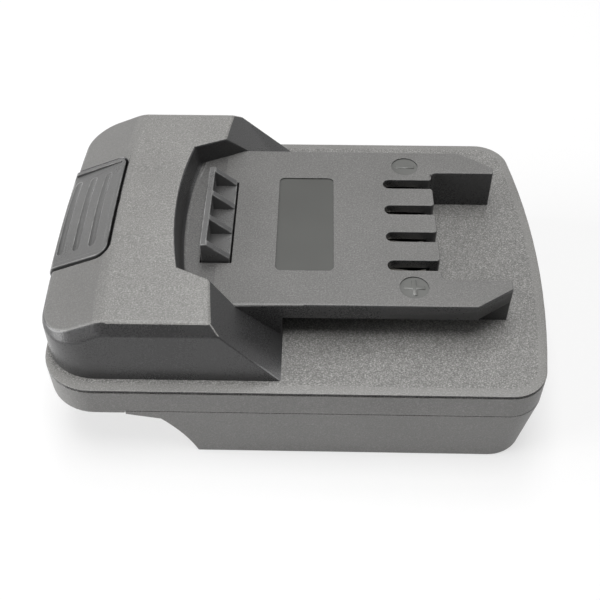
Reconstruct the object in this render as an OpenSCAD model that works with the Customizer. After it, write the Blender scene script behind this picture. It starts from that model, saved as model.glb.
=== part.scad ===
// Slide-on battery adapter for cordless tools.
// Millimetres, +Z up, +X is the way the tool rail slides in, origin at the middle of the footprint.

/* [Body] */
// Overall length along the slide direction
body_length = 109; // [107:0.5:112]
// Overall width
body_width = 80.6; // [79:0.2:83]
// Bow of the end below the button
button_end_bow = 1.8; // [1:0.2:3]
// Corner radius of the end below the button
button_end_radius = 11; // [9.5:0.5:12]
// Bow of the far end
plain_end_bow = 4; // [3:0.25:5]
// Corner radius of the far end
plain_end_radius = 8; // [6:0.5:9.5]
// Height of the battery socket
socket_height = 16; // [15.5:0.25:17.5]
// Height of the frame band between the two seams
band_height = 6.2; // [6:0.1:7]
// Open shadow gap between the band and the cover
seam_gap = 0.4; // [0.3:0.05:0.5]
// How far the shadow gap goes in
seam_depth = 0.6; // [0.4:0.1:0.9]
// Thickness of the cover's outer lip
lip_thickness = 0.6; // [0.5:0.1:0.8]

/* [Tool rail] */
// Width over both rails
rail_width = 50; // [49.4:0.1:50.4]
// Thickness of a rail
rail_thickness = 4.05; // [3.8:0.05:4.2]
// Height of the groove under a rail
groove_height = 5.8; // [5.6:0.1:6.2]
// Depth of the groove under a rail
groove_depth = 5.25; // [5:0.05:5.4]
// Distance from the middle of the part to the rail tips
rail_tip = 45; // [44.5:0.25:46]
// Length of the notch between the rail tips
notch_length = 14.75; // [14:0.25:15.5]
// Wall of the two arms beside the notch
arm_wall = 2.5; // [2.3:0.1:2.7]
// Length of the bevel on each rail tip
tip_bevel = 7.85; // [7:0.25:8.5]
// Depth of the flat panel and the two round marks
mark_depth = 0.25; // [0.2:0.05:0.4]

/* [Terminals] */
// Spacing of the four terminal slots
slot_pitch = 8.8; // [8.6:0.05:8.9]
// Width of a terminal slot
slot_width = 2.9; // [2.7:0.1:3.2]
// Length of a terminal slot
slot_length = 11.35; // [11:0.25:12]
// Thickness of the terminal strip
strip = 0.6; // [0.5:0.05:0.7]
// Thickness of the battery blades
blade_thickness = 0.8; // [0.6:0.1:1]
// Length of the battery blades that stands free
blade_reach = 14; // [12:0.5:16]

/* [Head] */
// Height of the head's crown over the flange
crown_height = 15.9; // [15.5:0.1:16.4]
// Radius of the crown across the head
crown_radius = 286; // [260:2:320]
// Distance from the flange edge in to the head wall
head_inset = 2.95; // [2.6:0.05:3.3]
// Draft of the head wall in degrees
head_draft = 7.5; // [6:0.5:8.5]
// Height of the bevel round the head's top
head_bevel = 2.4; // [2.1:0.1:2.7]
// Distance from the middle of the part to the sloped facet
facet_start = 39.9; // [39.5:0.1:40.3]
// Slope of the facet under the thumb in degrees
facet_angle = 22.6; // [21:0.2:24]
// Radius where the crown turns down into the facet
facet_round = 10; // [8:0.5:12]
// Where the 45 degree shoulders reach the flange
shoulder_foot = 3.45; // [3:0.05:4]

/* [Latch] */
// Width of the thumb button
button_width = 31.6; // [31:0.1:32]
// Width of the ribbed hook
hook_width = 25.6; // [24.8:0.2:26]
// How far the hook stands over the rail
hook_rise = 5; // [4.6:0.1:5.2]
// Travel of the latch when it is pressed
latch_travel = 5.2; // [5.2:0.05:5.4]
// Gap round the ribbed hook
latch_gap = 0.3; // [0.3:0.05:0.5]
// Gap round the thumb button
button_gap = 0.55; // [0.45:0.05:0.65]
// How far the button stands over the facet
button_rise = 0.25; // [0.1:0.05:0.4]
// Play under the stop of the latch
stop_play = 0.25; // [0.2:0.05:0.35]
// Wire of the two latch springs
spring_wire = 0.8; // [0.6:0.1:0.9]

/* [Battery socket] */
// Clear width of the channel over the lips
channel_width = 63; // [62:0.5:63.5]
// Clear width between the lips
neck_width = 53; // [52:0.5:54]
// Thickness of the lips
lip_height = 6.2; // [5.8:0.2:6.6]
// Thickness of the socket roof
roof = 2.6; // [2.4:0.1:2.8]

/* [Hidden] */
$fn = 48;

half_length = body_length / 2;
half_width = body_width / 2;
rail_half = rail_width / 2;
stem_half = rail_half - groove_depth;
arm_inner = stem_half - arm_wall;

corner_steps = 12;

// Levels from the floor up
frame_bottom = socket_height;
frame_top = frame_bottom + band_height;
lip_bottom = frame_top + seam_gap;
flange_top = lip_bottom + lip_thickness;
rail_bottom = flange_top + groove_height;
rail_top = rail_bottom + rail_thickness;
crown_top = flange_top + crown_height;
hook_top = rail_top + hook_rise;

// Walls and clearances
frame_wall = 2;
frame_floor = 1.6;
frame_step = 0.6;
fit = 0.15;
cover_plate = 1.2;
plate_bottom = frame_top - cover_plate;
floor_top = frame_bottom + frame_floor;
rail_plate = 2.2;
rail_under = rail_top - rail_plate;

// Head
head_half = half_width - head_inset;
head_tip = half_length - 0.3;
head_radius = button_end_radius + 0.5;
bevel_low = crown_top - pow(head_half - 3.8, 2) / (2 * crown_radius) - head_bevel;
bevel_inset = tan(head_draft) * (bevel_low - flange_top);
form_top = crown_top + 2;
end_reach = 5.4;
button_reach = 5.8;
end_lean = 2.1;

// Recess in the head in front of the hook
recess_back = -27.2;
recess_corner_x = -25.1;
recess_corner_y = 19.6;
recess_bow = 102;
recess_lean = 9;
recess_round = 1.5;
notch_x = rail_tip - notch_length;
notch_radius = 1.5;
mouth_radius = 0.8;
slot_start = notch_x - slot_length;

// Latch
hook_back = -21.25;
hook_front = -15.1;
hook_plate = 1.4;
rib = 1.6;
pocket_floor = rail_top + 0.6;
button_front = -facet_start - 0.75;
button_plate = 3;
arm_bottom = plate_bottom + 3.2;
arm_top = arm_bottom + 2.4;
tower_x = -34;
tower_y = 10;
tower_radius = 4.3;
spring_radius = 2.7;
spring_bore = spring_radius + spring_wire / 2 + 0.3;
spring_roof = arm_bottom + 8.4;
cavity_end = half_length - 3.1;
cavity_half = button_width / 2 + 2.9;

// Socket
socket_front = -29.2;
front_radius = 36;
front_axis_x = -56.8;
front_axis_z = -9.7;
channel_end = half_length - 9;
channel_top = socket_height - roof;
socket_draft = 1;
socket_end_draft = 2;
screw_y = half_width - 5.8;
screw_x = [socket_front + 19.2, half_length - 12.5];
frame_screw_x = 10.5 - half_length;
frame_screw_y = 27;
shank = 1.5;
head_r = 2.75;
head_height = 2;
small_shank = 1;
small_head = 2;
small_height = 1.4;
screw_fit = 0.2;
head_fit = 0.25;
thread_fit = 0.06;

// Terminals and blades
slot_y = [-1.5 * slot_pitch, -0.5 * slot_pitch, 0.5 * slot_pitch, 1.5 * slot_pitch];
carrier_bottom = plate_bottom + 0.4;
carrier_top = carrier_bottom + 2;
carrier_back = 11;
carrier_front = notch_x - 2.35;
carrier_half = arm_inner - 0.1;
strip_start = slot_start + 0.1;
strip_height = rail_under - 0.3 - carrier_top;
tail_bottom = floor_top + 0.9;
tail_width = 3;
fork_length = 8.4;
fork_throat = 5.8;
fork_back = 1;
fork_grip = 0.32;
fork_mouth = 0.8;
carrier_screw_x = carrier_back + 3;
block_front = channel_end - 7;
block_half = 19;
block_bottom = lip_height + 0.8;
block_sink = 1.8;
block_screw_x = block_front + 2.4;
blade_bottom = block_bottom + 0.6;
blade_top = channel_top - 0.8;
blade_tail = channel_end - 3;
lead_z = tail_bottom + 1.1;
bare_end = 2;
power_lead = 0.95;
signal_lead = 0.6;

// Points of one bowed and rounded end, seen from above, moved in by d
function bow_radius(half, bow) = (half * half + bow * bow) / (2 * bow);
function end_points(tip, half, bow, r, d) =
    let (big = bow_radius(half, bow))
    let (cx = tip - big)
    let (kx = cx + sqrt(pow(big - r, 2) - pow(half - r, 2)))
    let (a0 = atan2(half - r, kx - cx))
    concat(
        [for (i = [0 : corner_steps]) let (a = -90 + (90 - a0) * i / corner_steps)
            [kx + (r - d) * cos(a), r - half + (r - d) * sin(a)]],
        [for (i = [1 : 11]) let (a = -a0 + a0 * i / 6)
            [cx + (big - d) * cos(a), (big - d) * sin(a)]],
        [for (i = [0 : corner_steps]) let (a = a0 + (90 - a0) * i / corner_steps)
            [kx + (r - d) * cos(a), half - r + (r - d) * sin(a)]]);
function turned(points) = [for (p = points) [-p[0], -p[1]]];

// Outline of the band and flange
function body_points(d) = concat(
    end_points(half_length, half_width, plain_end_bow, plain_end_radius, d),
    turned(end_points(half_length, half_width, button_end_bow, button_end_radius, d)));

// Outline of the socket, cut straight at its front
function socket_points(tip, half) = concat(
    end_points(tip, half, plain_end_bow, plain_end_radius, 0),
    [[socket_front - 10, half], [socket_front - 10, -half]]);

// Outline of the head, open towards the shoulders
function head_points(tip, half, r, d) = concat(
    [[20, d - half], [20, half - d]],
    turned(end_points(tip, half, button_end_bow, r, d)));

module body_slab(d, bottom, top) {
    translate([0, 0, bottom]) linear_extrude(top - bottom) polygon(body_points(d));
}

module box(low, high) {
    translate(low) cube(high - low);
}

// Profile in X and Z drawn across the part
module across(points, half) {
    translate([0, half, 0]) rotate([90, 0, 0]) linear_extrude(2 * half) polygon(points);
}

// Tips the left part of the head down along a round towards the thumb facet, by a share of its slope
module tilt(share = 1) {
    drop = facet_round * (cos(facet_angle * (share - 0.5)) / cos(facet_angle / 2) - 1);
    translate([-facet_start, 0, crown_top]) rotate([0, -facet_angle * share, 0])
        translate([facet_start, 0, -crown_top - drop]) children();
}

module crown(sink = 0) {
    translate([-90, 0, crown_top - crown_radius]) rotate([0, 90, 0])
        cylinder(h = 130, r = crown_radius - sink, $fn = 400);
}

module head_walls() {
    hull() {
        translate([0, 0, lip_bottom]) linear_extrude(0.2)
            polygon(head_points(head_tip, head_half, head_radius, 0));
        translate([0, 0, form_top]) linear_extrude(0.2)
            polygon(head_points(head_tip + end_lean, head_half, head_radius,
                tan(head_draft) * (form_top - flange_top)));
    }
}

// The bevel as a cone-like body that is wider below, with its left tip moved out by reach
module bevel_body(reach) {
    low = bevel_low - 46;
    hull() {
        translate([0, 0, low]) linear_extrude(0.2)
            polygon(head_points(head_tip + reach, head_half, head_radius, bevel_inset + low - bevel_low));
        translate([0, 0, form_top]) linear_extrude(0.2)
            polygon(head_points(head_tip + reach, head_half, head_radius,
                bevel_inset + form_top - bevel_low));
    }
}

// Outer form of the head with crown, facet, bevel and shoulders, the facet's end moved out by reach
module head_form(reach) {
    difference() {
        intersection() {
            head_walls();
            intersection_for (step = [0 : 3]) tilt(step / 3) bevel_body(reach * step / 3);
            intersection_for (step = [0 : 9]) tilt(step / 9) crown();
        }
        translate([-shoulder_foot, 0, flange_top]) rotate([0, -45, 0])
            translate([0, -60, -60]) cube([60, 120, 120]);
        translate([-shoulder_foot, -60, lip_bottom - 1]) cube([60, 120, 40]);
    }
}

// Button seen from above, grown by g
module button_plan(g) {
    x = button_front + g;
    y = button_width / 2 + g;
    r = 2.5 + g;
    translate([x - r, y - r]) circle(r);
    translate([x - r, r - y]) circle(r);
    translate([-70, -y]) square([70 + x - r, 2 * y]);
    translate([x - 2 * r, r - y]) square([2 * r, 2 * (y - r)]);
}

function facet_z(x) = crown_top - tan(facet_angle) * max(0, -facet_start - x);

// Rails on their stem, with the notch between the two arms
module rail() {
    back = recess_corner_x - 1;
    difference() {
        union() {
            translate([0, 0, rail_bottom]) linear_extrude(rail_thickness) polygon([
                [back, -rail_half], [rail_tip - tip_bevel, -rail_half], [rail_tip, -stem_half],
                [rail_tip, stem_half], [rail_tip - tip_bevel, rail_half], [back, rail_half]]);
            box([back, -stem_half, lip_bottom], [rail_tip, stem_half, rail_top - 0.5]);
            box([back, -rail_half, lip_bottom], [-shoulder_foot, rail_half, rail_top - 0.5]);
        }
        translate([notch_x + 10, 0, lip_bottom - 1]) linear_extrude(20)
            rounded_plan([20, 2 * arm_inner], notch_radius);
    }
}

// Half profile of the recess, whose back wall leans and is rounded into the floor
function recess_profile() =
    let (turn = 90 - recess_lean)
    let (foot = recess_bow - tan(recess_lean) * (crown_top - rail_top))
    let (x = foot - recess_round * tan(turn / 2))
    concat([[0, 0]],
        [for (i = [0 : 5]) let (a = turn * i / 5 - 90)
            [x + recess_round * cos(a), recess_round * (1 + sin(a))]],
        [[foot + tan(recess_lean) * 12, 12], [0, 12]]);

// V-shaped recess that leads to the hook
module recess() {
    run = 20;
    spread = run * (rail_half - recess_corner_y) / (-shoulder_foot - rail_top + flange_top - recess_corner_x);
    intersection() {
        translate([recess_back + recess_bow, 0, rail_top])
            rotate_extrude($fn = 240) polygon(recess_profile());
        translate([0, 0, rail_top]) linear_extrude(12) polygon([
            [recess_back - 4, -recess_corner_y], [recess_corner_x, -recess_corner_y],
            [recess_corner_x + run, -recess_corner_y - spread],
            [recess_corner_x + run, recess_corner_y + spread],
            [recess_corner_x, recess_corner_y], [recess_back - 4, recess_corner_y]]);
    }
}

// Slot with a round back end and a rounded mouth at the notch
module slot_plan() {
    half = slot_width / 2;
    translate([slot_start + half, 0]) circle(half);
    translate([slot_start + half, -half]) square([notch_length - 4, slot_width]);
    difference() {
        translate([notch_x - mouth_radius, -half - mouth_radius])
            square([mouth_radius + 1, slot_width + 2 * mouth_radius]);
        for (side = [-1, 1])
            translate([notch_x - mouth_radius, side * (half + mouth_radius)]) circle(mouth_radius);
    }
}

module slots() {
    for (y = slot_y)
        translate([0, y, carrier_top + 0.6]) linear_extrude(20) slot_plan();
}

module rounded_plan(size, r) {
    for (sx = [-1, 1], sy = [-1, 1])
        translate([sx * (size[0] / 2 - r), sy * (size[1] / 2 - r)]) circle(r);
    square([size[0] - 2 * r, size[1]], center = true);
    square([size[0], size[1] - 2 * r], center = true);
}

// Flat panel and the round polarity marks on the rail
module marks() {
    depth = [0, 0, rail_top - mark_depth];
    translate(depth + [1, 0, 0]) linear_extrude(1) rounded_plan([12.5, 30.1], 1.2);
    for (side = [-1, 1])
        translate(depth + [24.2, side * (rail_half - 5.4), 0]) difference() {
            cylinder(h = 1, r = 3.1);
            translate([-2.2, -0.45, -1]) cube([4.4, 0.9, 1.12]);
            if (side < 0)
                translate([-0.45, -2.2, -1]) cube([0.9, 4.4, 1.12]);
        }
}

module cover_hollow() {
    across([[-cavity_end, plate_bottom - 1], [recess_back - 2, plate_bottom - 1],
        [recess_back - 2, crown_top - 3], [-facet_start - 0.8, crown_top - 3],
        [-cavity_end, facet_z(-cavity_end) - 3]], cavity_half);
    box([recess_back - 3, -hook_width / 2 - 1.9, plate_bottom - 1],
        [hook_front + 1.8, hook_width / 2 + 1.9, rail_under]);
    box([carrier_back - 0.6, -arm_inner - 0.2, plate_bottom - 1],
        [carrier_front + 0.3, arm_inner + 0.2, rail_under]);
}

module top_cover() {
    color([0.16, 0.165, 0.17]) difference() {
        union() {
            body_slab(0, lip_bottom, flange_top);
            body_slab(seam_depth, frame_top, lip_bottom);
            body_slab(frame_wall + fit, plate_bottom, frame_top);
            head_form(end_reach);
            rail();
            for (x = screw_x, side = [-1, 1])
                translate([x, side * screw_y, floor_top]) cylinder(h = lip_bottom - floor_top, r = 3.2);
        }
        recess();
        cover_hollow();
        slots();
        marks();
        translate([0, 0, facet_z(-half_length) - button_plate - latch_travel - 0.9]) linear_extrude(30)
            button_plan(button_gap);
        box([hook_back - latch_gap, -hook_width / 2 - latch_gap, rail_under - 1],
            [hook_front + latch_gap, hook_width / 2 + latch_gap, rail_top + 1]);
        for (x = screw_x, side = [-1, 1])
            translate([x, side * screw_y, floor_top - 1])
                cylinder(h = lip_bottom - floor_top + 0.8, r = shank + thread_fit);
        for (side = [-1, 1])
            translate([frame_screw_x, side * frame_screw_y, plate_bottom - 1])
                cylinder(h = 8.5, r = shank + thread_fit);
    }
}

module middle_frame() {
    color([0.19, 0.195, 0.2]) difference() {
        union() {
            difference() {
                body_slab(0, frame_bottom - frame_step, frame_top);
                body_slab(frame_wall, floor_top, frame_top + 1);
                box([socket_front - 7, -60, frame_bottom - 5], [80, 60, frame_bottom]);
            }
            for (side = [-1, 1]) {
                translate([tower_x, side * tower_y, floor_top - 0.5]) cylinder(h = 4.4, r = 1.7);
                translate([carrier_screw_x, side * slot_pitch, floor_top - 0.5])
                    cylinder(h = carrier_bottom - floor_top + 0.5, r = 3);
                translate([frame_screw_x, side * frame_screw_y, floor_top - 0.5])
                    cylinder(h = plate_bottom - floor_top + 0.5, r = 4);
            }
        }
        for (y = slot_y)
            box([blade_tail - 0.6, y - 1.6, frame_bottom - 5], [channel_end + 0.2, y + 1.6, floor_top + 1]);
        for (side = [-1, 1]) {
            for (x = screw_x)
                translate([x, side * screw_y, frame_bottom - 1]) cylinder(h = 4, r = shank + screw_fit);
            translate([carrier_screw_x, side * slot_pitch, floor_top - 0.6])
                cylinder(h = 8, r = small_shank + thread_fit);
            translate([frame_screw_x, side * frame_screw_y, frame_bottom - 5]) {
                cylinder(h = 12, r = shank + screw_fit);
                cylinder(h = 7.2, r = head_r + head_fit);
            }
        }
    }
}

module socket_channel() {
    box([-80, -channel_width / 2, lip_height], [channel_end, channel_width / 2, channel_top]);
    box([-80, -neck_width / 2, -1], [channel_end, neck_width / 2, lip_height + 1]);
}

module battery_socket() {
    color([0.19, 0.195, 0.2]) difference() {
        hull() {
            translate([0, 0, frame_bottom - 0.4]) linear_extrude(0.4)
                polygon(socket_points(half_length, half_width));
            linear_extrude(0.4)
                polygon(socket_points(half_length - socket_end_draft, half_width - socket_draft));
        }
        translate([front_axis_x, 60, front_axis_z]) rotate([90, 0, 0])
            intersection() {
                cylinder(h = 120, r = front_radius, $fn = 240);
                translate([-front_radius, -front_radius, -1])
                    cube([2 * front_radius, front_radius + channel_top - front_axis_z - 0.2, 122]);
            }
        across([[socket_front - 20, -1], [socket_front, -1], [socket_front, channel_top - 0.2],
            [socket_front - 6.9, socket_height - 1.2], [socket_front - 6.9, socket_height + 1],
            [socket_front - 20, socket_height + 1]], 60);
        socket_channel();
        box([-19, -12, channel_top - 1], [-11, 12, socket_height - 0.9]);
        for (y = slot_y)
            box([blade_tail - 0.4, y - blade_thickness / 2 - 0.3, channel_top - 1],
                [channel_end - 0.4, y + blade_thickness / 2 + 0.3, socket_height + 1]);
        for (x = screw_x, side = [-1, 1])
            translate([x, side * screw_y, -1]) {
                cylinder(h = 30, r = shank + screw_fit);
                cylinder(h = 3.6, r = head_r + head_fit);
            }
        for (side = [-1, 1])
            translate([block_screw_x, side * slot_pitch, channel_top - 1])
                cylinder(h = 3.2, r = small_shank + thread_fit);
    }
}

// Shallow round-ended grooves and the sunk panel on the button
module button_relief() {
    axis = crown_top - crown_radius;
    tilt() {
        difference() {
            box([-90, 1.3 - button_width / 2, crown_top - 6],
                [button_front - 1.3, button_width / 2 - 1.3, crown_top + 4]);
            crown(0.3);
        }
        for (i = [0 : 2])
            translate([-facet_start - 5.35 - 4 * i, 0, axis]) {
                swing = asin(11.3 / crown_radius);
                rotate([0, -90, 0]) rotate([0, 0, -swing]) rotate_extrude(angle = 2 * swing)
                    translate([crown_radius + 0.25, 0]) circle(1);
                for (side = [-1, 1])
                    rotate([side * swing, 0, 0]) translate([0, 0, crown_radius + 0.25]) sphere(1);
            }
    }
}

module hook() {
    box([hook_back - 3, -hook_width / 2 - 1.4, arm_bottom],
        [hook_front, hook_width / 2 + 1.4, rail_under - stop_play]);
    box([hook_back, -hook_width / 2, arm_bottom], [hook_front, hook_width / 2, pocket_floor]);
    box([hook_back, -hook_width / 2, arm_bottom],
        [hook_back + hook_plate, hook_width / 2, hook_top]);
    pitch = (hook_width - rib) / 3;
    for (i = [0 : 3])
        translate([0, i * pitch - hook_width / 2 + rib / 2, 0])
            across([[hook_back + 0.5, arm_bottom], [hook_front, arm_bottom], [hook_front, pocket_floor + 0.3],
                [hook_back + hook_plate, hook_top], [hook_back + 0.5, hook_top]], rib / 2);
}

module release_latch() {
    color([0.13, 0.135, 0.14]) difference() {
        union() {
            difference() {
                intersection() {
                    translate([0, 0, button_rise]) head_form(button_reach);
                    linear_extrude(80) button_plan(0);
                }
                across([[-80, facet_z(-80) - button_plate],
                    [-facet_start + 1, facet_z(-facet_start) - button_plate],
                    [-facet_start + 1, 0], [-80, 0]], 60);
                translate([0, 0, button_rise]) button_relief();
            }
            across([[latch_gap - cavity_end, arm_bottom], [button_front - 0.6, arm_bottom],
                [button_front - 0.6, facet_z(button_front) - 2],
                [latch_gap - cavity_end, facet_z(latch_gap - cavity_end) - 2]], button_width / 2 - 1.2);
            box([button_front - 2, -hook_width / 2, arm_bottom], [hook_front, hook_width / 2, arm_top]);
            for (side = [-1, 1])
                translate([tower_x, side * tower_y, arm_bottom]) cylinder(h = 10, r = tower_radius);
            hook();
        }
        across([[latch_gap - cavity_end + 1.6, arm_bottom - 1], [button_front - 2.2, arm_bottom - 1],
            [button_front - 2.2, facet_z(button_front) - 4.4],
            [latch_gap - cavity_end + 1.6, facet_z(latch_gap - cavity_end + 1.6) - 3.6]],
            button_width / 2 - 2.8);
        for (side = [-1, 1])
            translate([tower_x, side * tower_y, arm_bottom - 1])
                cylinder(h = spring_roof - arm_bottom + 1, r = spring_bore);
    }
}

// One coil spring with its wire in six-sided section
module coil(length) {
    turns = 6;
    steps = 14;
    sides = 6;
    count = turns * steps;
    rise = length - spring_wire;
    points = [for (i = [0 : count], k = [0 : sides - 1])
        let (a = 360 * i / steps, b = 360 * k / sides, r = spring_radius + spring_wire / 2 * cos(b))
        [r * cos(a), r * sin(a), spring_wire / 2 + rise * i / count + spring_wire / 2 * sin(b)]];
    rings = [for (i = [0 : count - 1], k = [0 : sides - 1])
        let (m = (k + 1) % sides)
        [i * sides + k, (i + 1) * sides + k, (i + 1) * sides + m, i * sides + m]];
    ends = [[for (k = [0 : sides - 1]) k], [for (k = [0 : sides - 1]) (count + 1) * sides - 1 - k]];
    polyhedron(points = points, faces = concat(rings, ends));
}

module latch_springs() {
    color([0.7, 0.7, 0.68])
        for (side = [-1, 1])
            translate([tower_x, side * tower_y, floor_top + 0.05]) coil(spring_roof - floor_top - 0.1);
}

module contact_carrier() {
    color([0.1, 0.1, 0.11]) difference() {
        union() {
            box([carrier_back, -carrier_half, carrier_bottom], [carrier_front, carrier_half, carrier_top]);
            for (i = [-1 : 1])
                box([strip_start, i * slot_pitch - 0.6, carrier_top - 0.5],
                    [carrier_front, i * slot_pitch + 0.6, carrier_top + strip_height - 2]);
        }
        for (y = slot_y)
            box([strip_start - 0.1, y - tail_width / 2 - 0.1, carrier_bottom - 1],
                [strip_start + strip + 0.1, y + tail_width / 2 + 0.1, carrier_top + 1]);
        for (side = [-1, 1])
            translate([carrier_screw_x, side * slot_pitch, carrier_bottom - 1])
                cylinder(h = 8, r = small_shank + screw_fit);
    }
}

// Fork terminal that grips a tool blade between two leaves
module terminal(y) {
    color([0.78, 0.66, 0.4]) translate([strip_start, y, 0]) {
        for (side = [-1, 1])
            translate([0, 0, carrier_top]) linear_extrude(strip_height) polygon([
                [0, side * (fork_back + strip)], [0, 0], [strip, 0], [strip, side * fork_back],
                [fork_throat - strip, side * fork_grip], [fork_throat + strip, side * fork_grip],
                [fork_length, side * fork_mouth], [fork_length, side * (fork_mouth + strip)],
                [fork_throat + strip, side * (fork_grip + strip)],
                [fork_throat - strip, side * (fork_grip + strip)], [strip, side * (fork_back + strip)]]);
        box([0, -tail_width / 2, tail_bottom], [strip, tail_width / 2, carrier_top + 0.5]);
    }
}

module terminal_plus() {
    terminal(slot_y[0]);
}

module terminal_signal() {
    terminal(slot_y[1]);
}

module terminal_sense() {
    terminal(slot_y[2]);
}

module terminal_minus() {
    terminal(slot_y[3]);
}

module blade_block() {
    color([0.1, 0.1, 0.11]) difference() {
        box([block_front, -block_half, block_bottom], [channel_end - 0.1, block_half, channel_top]);
        for (y = slot_y)
            box([block_front - 1, y - blade_thickness / 2 - 0.05, blade_bottom - 0.05],
                [channel_end - 0.5, y + blade_thickness / 2 + 0.05, channel_top + 1]);
        for (side = [-1, 1])
            translate([block_screw_x, side * slot_pitch, 0]) {
                cylinder(h = 30, r = small_shank + screw_fit);
                cylinder(h = block_bottom + block_sink, r = small_head + screw_fit);
            }
    }
}

// Blade for the battery, turned up at its back end through the socket roof
module blade(y) {
    color([0.75, 0.75, 0.74]) translate([0, y - blade_thickness / 2, 0]) {
        box([block_front - blade_reach, 0, blade_bottom], [blade_tail + 2, blade_thickness, blade_top]);
        box([blade_tail, 0, blade_bottom], [blade_tail + 2, blade_thickness, lead_z + 1]);
    }
}

module blade_plus() {
    blade(slot_y[0]);
}

module blade_signal() {
    blade(slot_y[1]);
}

module blade_sense() {
    blade(slot_y[2]);
}

module blade_minus() {
    blade(slot_y[3]);
}

// Insulated lead from a terminal tail to a blade tail
module lead(y, r, tint) {
    start = strip_start + strip;
    color(tint) translate([start, y, lead_z]) rotate([0, 90, 0]) {
        cylinder(h = blade_tail - start, r = r / 2);
        translate([0, 0, bare_end]) cylinder(h = blade_tail - start - 2 * bare_end, r = r);
    }
}

module lead_plus() {
    lead(slot_y[0], power_lead, [0.6, 0.08, 0.07]);
}

module lead_signal() {
    lead(slot_y[1], signal_lead, [0.85, 0.75, 0.2]);
}

module lead_sense() {
    lead(slot_y[2], signal_lead, [0.85, 0.85, 0.85]);
}

module lead_minus() {
    lead(slot_y[3], power_lead, [0.07, 0.07, 0.07]);
}

// Pan head screw standing on its head, with a cross recess
module screw(length, r, cap, height) {
    difference() {
        union() {
            cylinder(h = height, r = cap);
            cylinder(h = length + height, r = r);
        }
        for (turn = [0, 90])
            rotate([0, 0, turn]) translate([-cap * 0.55, -cap * 0.13, -0.01])
                cube([cap * 1.1, cap * 0.26, height * 0.55]);
    }
}

module socket_screws() {
    seat = 2.6 - head_height;
    color([0.5, 0.5, 0.5])
        for (x = screw_x, side = [-1, 1])
            translate([x, side * screw_y, seat])
                screw(lip_bottom - seat - head_height - 1, shank, head_r, head_height);
}

module frame_screws() {
    color([0.5, 0.5, 0.5])
        for (side = [-1, 1])
            translate([frame_screw_x, side * frame_screw_y, frame_bottom + 0.2])
                screw(plate_bottom - frame_bottom + 4.5, shank, head_r, head_height);
}

module carrier_screws() {
    color([0.5, 0.5, 0.5])
        for (side = [-1, 1])
            translate([carrier_screw_x, side * slot_pitch, carrier_top + small_height]) rotate([180, 0, 0])
                screw(carrier_top - floor_top - 0.6, small_shank, small_head, small_height);
}

module block_screws() {
    color([0.5, 0.5, 0.5])
        for (side = [-1, 1])
            translate([block_screw_x, side * slot_pitch, block_bottom + block_sink - small_height])
                screw(channel_top - block_bottom - block_sink + 1.9, small_shank, small_head, small_height);
}

top_cover();
middle_frame();
battery_socket();
release_latch();
latch_springs();
contact_carrier();
terminal_plus();
terminal_signal();
terminal_sense();
terminal_minus();
blade_block();
blade_plus();
blade_signal();
blade_sense();
blade_minus();
lead_plus();
lead_signal();
lead_sense();
lead_minus();
socket_screws();
frame_screws();
carrier_screws();
block_screws();
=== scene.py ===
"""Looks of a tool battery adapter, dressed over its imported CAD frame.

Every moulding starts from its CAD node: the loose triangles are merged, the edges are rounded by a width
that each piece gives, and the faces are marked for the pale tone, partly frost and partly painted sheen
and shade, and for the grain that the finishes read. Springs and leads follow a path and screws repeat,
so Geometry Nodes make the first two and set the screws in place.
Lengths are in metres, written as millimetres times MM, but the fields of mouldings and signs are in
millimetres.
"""

import logging
import math
from collections.abc import Iterable, Sequence
from dataclasses import dataclass
from enum import Enum

import bmesh
import bpy
from mathutils import Matrix, Vector
from mathutils.bvhtree import BVHTree


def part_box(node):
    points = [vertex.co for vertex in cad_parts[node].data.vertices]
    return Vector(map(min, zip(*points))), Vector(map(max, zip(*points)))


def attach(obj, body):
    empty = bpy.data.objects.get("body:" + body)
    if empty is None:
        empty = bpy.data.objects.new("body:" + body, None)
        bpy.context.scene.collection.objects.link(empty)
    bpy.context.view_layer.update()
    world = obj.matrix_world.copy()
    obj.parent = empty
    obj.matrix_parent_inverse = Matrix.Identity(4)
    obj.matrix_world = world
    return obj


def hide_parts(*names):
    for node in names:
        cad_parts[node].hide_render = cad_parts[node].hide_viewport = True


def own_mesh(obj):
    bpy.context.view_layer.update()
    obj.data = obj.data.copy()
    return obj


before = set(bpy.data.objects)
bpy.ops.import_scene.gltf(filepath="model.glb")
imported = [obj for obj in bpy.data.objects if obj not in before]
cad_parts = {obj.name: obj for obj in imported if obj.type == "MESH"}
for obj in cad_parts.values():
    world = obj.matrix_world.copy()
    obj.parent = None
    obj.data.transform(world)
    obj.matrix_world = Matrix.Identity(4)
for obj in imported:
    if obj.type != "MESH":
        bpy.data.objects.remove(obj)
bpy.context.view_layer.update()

MM = 0.001
MERGE = 0.002 * MM
CUT = 0.001 * MM
LEVEL = 0.02 * MM
NOISE_MIDDLE = (0.3, 0.7)
Colour = tuple[float, float, float]
WHITE: Colour = (1, 1, 1)
Socket = bpy.types.NodeSocket
log = logging.getLogger("adapter")


class Body(str, Enum):
    """Bodies of the frame that a piece can ride on."""

    HOUSING = "housing"
    LATCH = "release_latch"


class HeadSide(Enum):
    """Side that a screw shows its head to."""

    DOWN = 1
    UP = -1


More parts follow.
